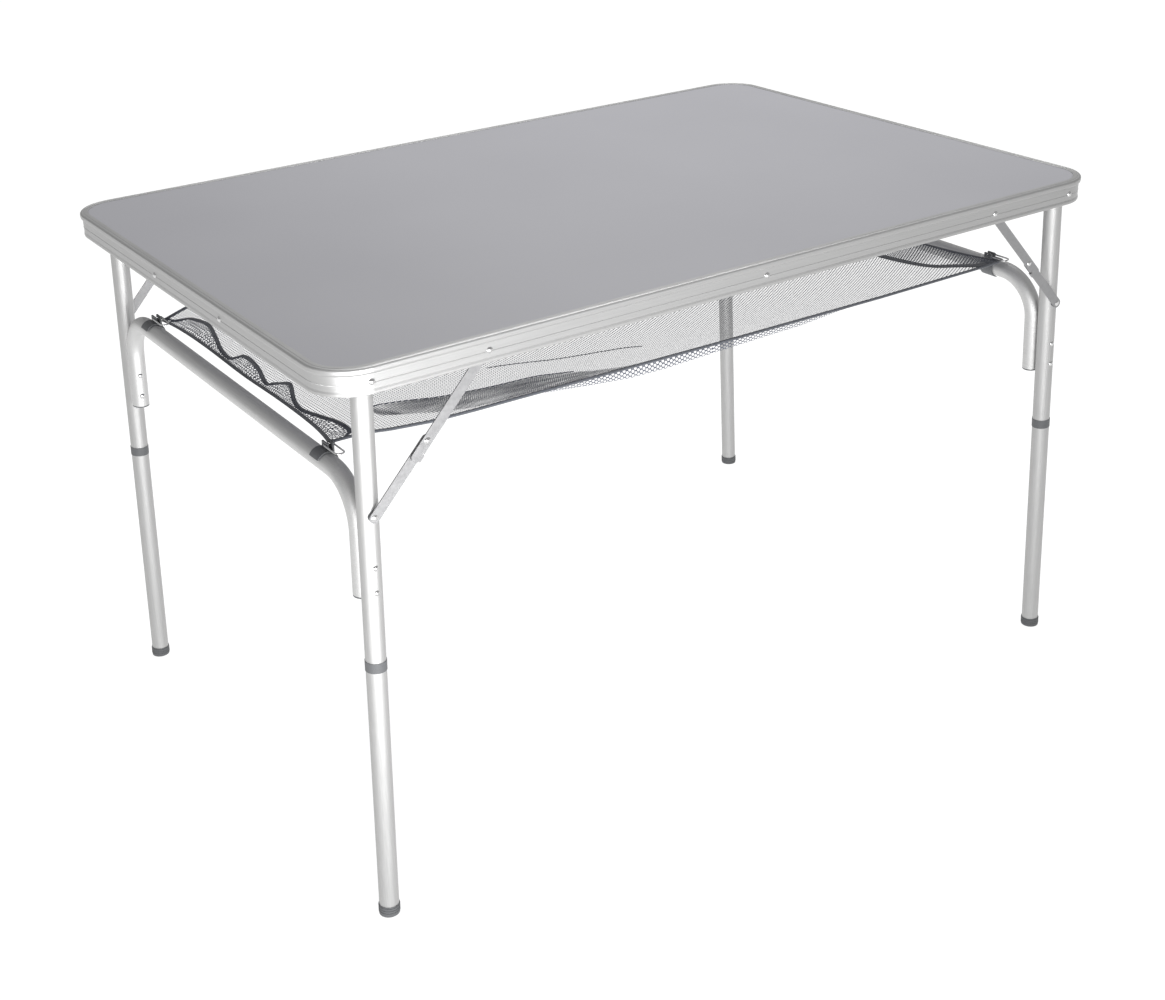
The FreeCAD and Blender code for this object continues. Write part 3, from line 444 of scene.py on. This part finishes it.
def make_left_details(thread, binding):
    """The waved pocket along the left end, the pleat and the crease."""
    edge = curve_through(POCKET_EDGE, 200)
    v = edge[:, 1] / half_width(np.array(-END_CORNER))
    foot = on_net(-end_line(np.clip(v, -1, 1)) + 0.002, edge[:, 1])
    steps = np.linspace(0, 1, len(edge))

    def pocket(s, t):
        low = np.stack([np.interp(t, steps, foot[:, k]) for k in range(3)], axis=-1)
        high = np.stack([np.interp(t, steps, edge[:, k]) for k in range(3)], axis=-1)
        bulge = POCKET_BULGE * np.sin(np.pi * s)[..., None] * np.array([-0.4, 0, 1.0])
        return low + (high - low) * s[..., None] + bulge

    length = float(np.linalg.norm(np.diff(edge, axis=0), axis=1).sum())
    pieces = [knitted("net_left_pocket", pocket, POCKET_DEPTH, length, thread),
              tape("net_left_pocket_tape", edge, *POCKET_TAPE, binding, lay=(-0.35, 0, 1))]

    edge_x, edge_y = zip(*PLEAT_EDGE)
    fold_x, fold_y = zip(*PLEAT_FOLD)

    def in_pleat(x, y):
        inside = (x > edge_x[0]) & (x < edge_x[-1])
        return inside & (y < np.interp(x, edge_x, edge_y)) & (y > np.interp(x, fold_x, fold_y))

    def second_layer(s, t):
        x = -0.46 + 0.36 * s + 0.006 * t
        return on_net(x, -HALF_WIDTH + 0.14 * t + 0.004 * s, LIFT)

    def third_layer(s, t):
        x = -0.4615 + 0.36 * s - 0.004 * t
        return on_net(x, -HALF_WIDTH + 0.14 * t - 0.003 * s, 2 * LIFT)

    pieces.append(knitted("net_left_pleat", second_layer, 0.352, 0.137, thread, in_pleat))
    pieces.append(knitted("net_left_pleat_top", third_layer, 0.358, 0.142, thread, in_pleat))
    pieces.append(tape("net_left_pleat_edge", line_on_net(PLEAT_EDGE[:-1], 80, 2 * LIFT),
                       *FINE_SEAM, thread))
    # Painted shade: the crease is a dark strip of tape on the flat net, not a fold.
    pieces.append(tape("net_left_crease_shade_line", line_on_net(CREASE_SHADE_LINE, 50, LIFT), *FINE_SEAM, binding))
    return pieces


def make_right_details(thread, binding):
    """The tape sewn across near the right end, and the second layer between it and the hem."""
    outline = SEWN_TAPE + [(x, -y) for x, y in SEWN_TAPE[-2::-1]]
    line = line_on_net(outline, 160, 2 * LIFT)
    tape_x, tape_y = line[:, 0], line[:, 1]

    def beyond_tape(x, y):
        return x > np.interp(y, tape_y, tape_x)

    def second_layer(s, t):
        v = 2 * t - 1
        x = RIGHT_LAYER_START + (end_line(v) - RIGHT_LAYER_START) * s
        return on_net(x, v * HALF_WIDTH, LIFT)

    return [
        knitted("net_right_second_layer", second_layer, 0.073, 2 * HALF_WIDTH * 0.96, thread,
                beyond_tape),
        tape("net_right_sewn_tape", line, *RIGHT_TAPE, binding),
    ]


def make_loose_hem(side_name, thread):
    """The loose strip that hangs below the front edge, one half of it."""
    side = SIDES[side_name]
    places, lows = (np.array(c) for c in zip(*LOOSE_HEM))
    reach = abs(places[0 if side < 0 else -1])

    def strip(s, t):
        x = side * reach * s
        low = np.interp(x, places, lows)
        high = edge_height(x)
        y = -HALF_WIDTH - HEM_BULGE * np.sin(np.pi * np.clip(t, 0, 1) * 0.8)
        return np.stack([x, y, high + (low - high) * t], axis=-1)

    return [knitted(f"net_{side_name}_loose_hem", strip, reach, HEM_DEPTH, thread)]


def make_net_half(side_name, thread, binding):
    """One half of the net: the sheet itself and what is sewn on it; the CAD storage net is hidden."""
    side = SIDES[side_name]

    def base(s, t):
        v = 2 * t - 1
        x = side * s * end_line(v)
        return on_net(x, v * half_width(x))

    half = knitted(f"net_{side_name}_half", base, END_MIDDLE, 2 * HALF_WIDTH, thread)
    others = make_edges(side_name, binding) + make_loose_hem(side_name, thread)
    others += make_left_details(thread, binding) if side < 0 else make_right_details(thread, binding)
    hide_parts("storage_net")
    return [half] + others


def make_net():
    thread, binding = net_thread(), binding_tape()
    for side_name in SIDES:
        for piece in make_net_half(side_name, thread, binding):
            follow(piece)


# ------------------------------------------------------------------ light and floor

FLOOR_REACH = 14.0  # from the middle to each side
WORLD_STRENGTH = 0.42


def add_area(name, place, aim, size, power, spread=180):
    """A square soft light that points at a place; its spread is in degrees."""
    data = bpy.data.lights.new(name, "AREA")
    data.shape, data.size, data.energy = "SQUARE", size, power
    data.spread = math.radians(spread)
    made = bpy.data.objects.new(name, data)
    bpy.context.collection.objects.link(made)
    made.location = place
    made.rotation_euler = (Vector(aim) - Vector(place)).to_track_quat("-Z", "Y").to_euler()


def add_studio():
    world = bpy.data.worlds.new("studio")
    bpy.context.scene.world = world
    world.use_nodes = True
    background = world.node_tree.nodes["Background"]
    background.inputs["Color"].default_value = (1, 1, 1, 1)
    background.inputs["Strength"].default_value = WORLD_STRENGTH
    add_area("key", (-0.62, -1.8, 0.34), (-0.42, -0.4, 0.66), 0.8, 8.5, spread=90)
    add_area("left", (-1.5, -1.35, 0.34), (-0.58, -0.38, 0.58), 0.8, 3.8, spread=90)
    add_area("top", (0.6, 0.5, 2.5), (0.1, 0.1, 0.73), 1.6, 38)
    corners = [(x * FLOOR_REACH, y * FLOOR_REACH, 0) for x, y in ((-1, -1), (1, -1), (1, 1), (-1, 1))]
    floor = add_mesh("floor", corners, [(0, 1, 2, 3)], pale_floor(), smooth_shade=False)
    bpy.context.scene.view_settings.view_transform = "Standard"


add_camera()
add_studio()
paint_frame()
make_net()
